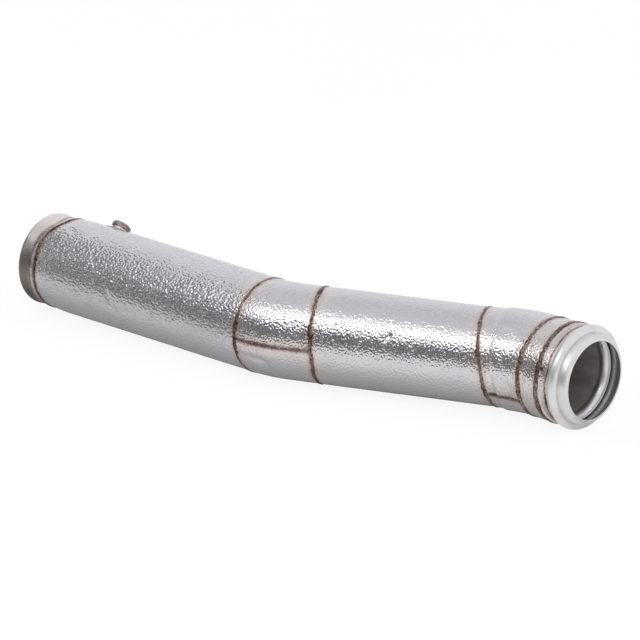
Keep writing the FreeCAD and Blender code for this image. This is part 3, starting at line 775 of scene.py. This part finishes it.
def tubeShape():
    shape = bmesh.new()
    radius = tube["radius"]
    bore = radius - tube["wall"]
    lip = tube["lip"]
    end = outletStart + legs[4][0] - tube["endSet"]
    flareStart = end - tube["flareLength"]
    wide = tube["flare"]
    # the inside opens in one arc, like a bell
    bellStart = end - lip - tube["bellLength"]
    bellTurn = 2 * math.atan(wide / tube["bellLength"])
    bellRound = tube["bellLength"] / math.sin(bellTurn)
    skin = shape.verts.layers.float.new("skin")
    drawSection(shape, (flareStart, radius), [
        (end - lip, radius + wide),
        (end - lip, radius + wide - lip, 90),
        (end, bore + wide + lip),
        (end - lip, bore + wide),
        (bellStart, bore + bellRound, math.degrees(bellTurn)),
    ], turned["spacing"])
    for vert in shape.verts:
        vert[skin] = 1
    drawSection(shape, (bellStart, bore), [
        (tube["start"], bore),
        (tube["start"], radius),
        (flareStart, radius),
    ], tube["boreSpacing"])
    spinSection(shape, turned["steps"])
    return shape


# Fibre mats, pressed in a little so that they stay under the dents of the foil
mat = {"outer": 56.4, "inner": 50.1, "spacing": 8, "steps": 72}
mats = {
    "inlet_mat": (49, firstBend),
    "elbow_mat": (firstBend, fromFirstCorner(57.9)),
    "middle_mat": (fromFirstCorner(57.9), secondBend),
    "outlet_mat": (secondBend, fromSecondCorner(37)),
}


def matShape(start, end):
    shape = bmesh.new()
    drawSection(shape, (start, mat["outer"]), [
        (end, mat["outer"]),
        (end, mat["inner"]),
        (start, mat["inner"]),
        (start, mat["outer"]),
    ], mat["spacing"])
    spinSection(shape, mat["steps"])
    return shape


for name, shape, material, slot in (
        ("inlet_collar", collarShape(), collarFinish(), "collar_steel"),
        ("outlet_flange", flangeShape(), flangeFinish(), "flange_steel"),
        ("exhaust_tube", tubeShape(), tubeFinish(), "tube_steel")):
    markSeams(shape)
    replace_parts(finishPiece(name + "_turned", shape, material), name)
fibre = matFinish()
for name, (start, end) in mats.items():
    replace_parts(finishPiece(name + "_felt", matShape(start, end), fibre), name)
print("collar, flange, tube and mats made")

# Stage: pale floor, soft light from the front and above, and flags that only reflections show
stage = {
    "floorSize": 14,
    "floorWhite": 0.82,     # share of plain white that the camera sees on the floor
    "floorGlow": 1.08,
    "ambient": 0.7,
    "sky": (0.95, 0.95, 0.98, 1),
    "softbox": {"place": (0.05, -1.05, 1.17), "size": (1.9, 0.58), "power": 5,
                "aim": (0, 0, 0.06)},
    "patch": 230,           # size of the light and dark patches on the flags
}


def stagePlate(name, shape, material):
    mesh = bpy.data.meshes.new(name)
    shape.to_mesh(mesh)
    shape.free()
    mesh.materials.append(material)
    plate = bpy.data.objects.new(name, mesh)
    bpy.context.scene.collection.objects.link(plate)
    return plate


def seenDirectly(tree):
    # 1 where the camera, a mirror or glass looks, 0 for the light that falls on things
    path = [tree.node("ShaderNodeLightPath", {}, {}, name)
            for name in ("Is Camera Ray", "Is Glossy Ray", "Is Transmission Ray")]
    return path[0] + path[1] + path[2]


floorFinish = Finish("paleFloor")
pale = floorFinish.grain(400, 2)
paint = floorFinish.ramp(pale, [(0.3, (0.83, 0.83, 0.83)), (0.7, (0.87, 0.87, 0.87))])
floorFinish.coat({"Base Color": paint, "Roughness": 0.9})
glow = floorFinish.node("ShaderNodeEmission", {}, {"Color": (1, 1, 1, 1), "Strength": stage["floorGlow"]})
lit = Wire(floorFinish, floorFinish.shader.outputs[0])
mixed = floorFinish.node("ShaderNodeMixShader", {},
                         {0: seenDirectly(floorFinish) * stage["floorWhite"], 1: lit, 2: glow})
floorFinish.feed(floorFinish.nodeTree.nodes["Material Output"].inputs["Surface"], mixed)
floorShape = bmesh.new()
bmesh.ops.create_grid(floorShape, x_segments=1, y_segments=1, size=stage["floorSize"] / 2)
stagePlate("floor", floorShape, floorFinish.material)


def flagCoat(name, patchy):
    # the shade that the plate's own attribute gives, plain or broken up as by a cluttered room
    finish = Finish(name)
    shade = finish.node("ShaderNodeAttribute", {"attribute_name": "shade"}, {}, "Fac")
    if patchy:
        shade = shade * finish.span(finish.grain(stage["patch"], 1), 0.38, 0.62, 0.1, 1.9)
    plain = finish.node("ShaderNodeEmission", {}, {"Color": shade, "Strength": 1.0})
    finish.feed(finish.nodeTree.nodes["Material Output"].inputs["Surface"], plain)
    return finish.material


def mirrorOnly(name, rows, material):
    # a plate that only reflections show, from rows of corners with their shades
    shape = bmesh.new()
    shadeLayer = shape.verts.layers.float.new("shade")
    grid = []
    for row in rows:
        grid.append([])
        for place, shade in row:
            vert = shape.verts.new(place)
            vert[shadeLayer] = shade
            grid[-1].append(vert)
    for first, second in zip(grid, grid[1:]):
        for count in range(len(first) - 1):
            shape.faces.new((first[count], first[count + 1], second[count + 1], second[count]))
    plate = stagePlate(name, shape, material)
    plate.visible_camera = False
    plate.visible_diffuse = False
    plate.visible_shadow = False


# Upright flags are (ends, shades up the flag), flat ones (x ends, height, shades along y)
uprightFlags = {
    "flagFront": (((-1.6, -1.7), (2.6, -1.7)), ((0, 0.32), (0.3, 0.28), (0.6, 0.18), (1, 0.18))),
    "flagLeft": (((-1.9, 0.4), (-1.6, -1.7)), ((0, 0.28), (0.3, 0.42), (0.6, 0.46), (1, 0.38), (1.4, 0.32),
                                               (1.8, 0.36))),
}
flatFlags = {
    "flagTable": ((-0.1, 2.6), 0.001, ((-1.7, 0.24), (-0.72, 0.24))),
    "flagTableLeft": ((-1.7, -0.1), 0.001, ((-1.7, 0.2), (-0.7, 0.25), (-0.38, 0.4), (-0.17, 0.78))),
    "flagCeiling": ((-1.5, 0.3), 2, ((-0.9, 0.88), (1.3, 0.74))),
}
plainFlag = flagCoat("plainFlag", False)
patchyFlag = flagCoat("patchyFlag", True)
for name, (ends, shades) in uprightFlags.items():
    mirrorOnly(name, [[((x, y, z), shade) for z, shade in shades] for x, y in ends], patchyFlag)
for name, (ends, height, shades) in flatFlags.items():
    mirrorOnly(name, [[((x, y, height), shade) for y, shade in shades] for x in ends], plainFlag)

# Painted shadow: a dark plate, seen only in reflections, stands in for the pipe's own shadow on the floor
# as its underside mirrors it: a dark core with paler sides
floorShadow = {
    "stations": range(-100, 900, 20),
    "reach": 130,           # half width of the shadow and of its core
    "core": 30,
    "coreRise": 0.32,
    "inletEdge": 0.86,
    "edge": 1,
    "middle": 0.04,
    "flangeStart": fromSecondCorner(62),
    "flangeMiddle": 0.5,
}
rows = []
for station in floorShadow["stations"]:
    row = []
    edge = floorShadow["inletEdge" if station < firstBend else "edge"]
    middle = floorShadow["middle" if station < floorShadow["flangeStart"] else "flangeMiddle"]
    core = middle + floorShadow["coreRise"]
    reach = floorShadow["reach"]
    inside = floorShadow["core"]
    for side, shade in ((-reach, edge), (-inside, core), (0, middle), (inside, core), (reach, edge)):
        spot = layOnRoute(max(station, 0), side, 0)
        row.append(((spot.x + min(station, 0) * mm, spot.y, 0.002), shade))
    rows.append(row)
mirrorOnly("floorShadow", rows, plainFlag)

world = bpy.data.worlds.new("studio")
bpy.context.scene.world = world
world.use_nodes = True
sky = Tree(world.node_tree)
strength = seenDirectly(sky) * (1 - stage["ambient"]) + stage["ambient"]
sky.feed(world.node_tree.nodes["Background"].inputs["Strength"], strength)
sky.feed(world.node_tree.nodes["Background"].inputs["Color"], stage["sky"])

softbox = stage["softbox"]
lamp = bpy.data.lights.new("softbox", "AREA")
lamp.shape = "RECTANGLE"
lamp.size, lamp.size_y = softbox["size"]
lamp.energy = softbox["power"]
lampObject = bpy.data.objects.new("softbox", lamp)
lampObject.location = softbox["place"]
aim = Vector(softbox["aim"]) - lampObject.location
lampObject.rotation_euler = aim.to_track_quat("-Z", "Y").to_euler()
bpy.context.scene.collection.objects.link(lampObject)
print("stage lit")

# Camera at the photograph's angle, far off with a long lens
view = {
    "azimuth": 42.31,
    "elevation": 19.85,
    "aim": (-0.0306, -0.0583, 0.0606),     # a point on the inlet axis
    "aimRight": 0.0682,                    # picture centre from that point
    "aimUp": 0.00544,
    "distance": 7.067,
    "lens": 323.6,
}
azimuth = math.radians(view["azimuth"])
elevation = math.radians(view["elevation"])
back = Vector((math.sin(azimuth) * math.cos(elevation), -math.cos(azimuth) * math.cos(elevation),
               math.sin(elevation)))
right = Vector((math.cos(azimuth), math.sin(azimuth), 0))
centre = Vector(view["aim"]) + right * view["aimRight"] + back.cross(right) * view["aimUp"]
camera = bpy.data.objects.new("camera", bpy.data.cameras.new("camera"))
camera.data.lens = view["lens"]
camera.data.clip_end = 100
camera.location = centre + back * view["distance"]
camera.rotation_euler = back.to_track_quat("Z", "Y").to_euler()
bpy.context.scene.collection.objects.link(camera)
bpy.context.scene.camera = camera
bpy.context.scene.view_settings.view_transform = "Standard"
print("camera set")
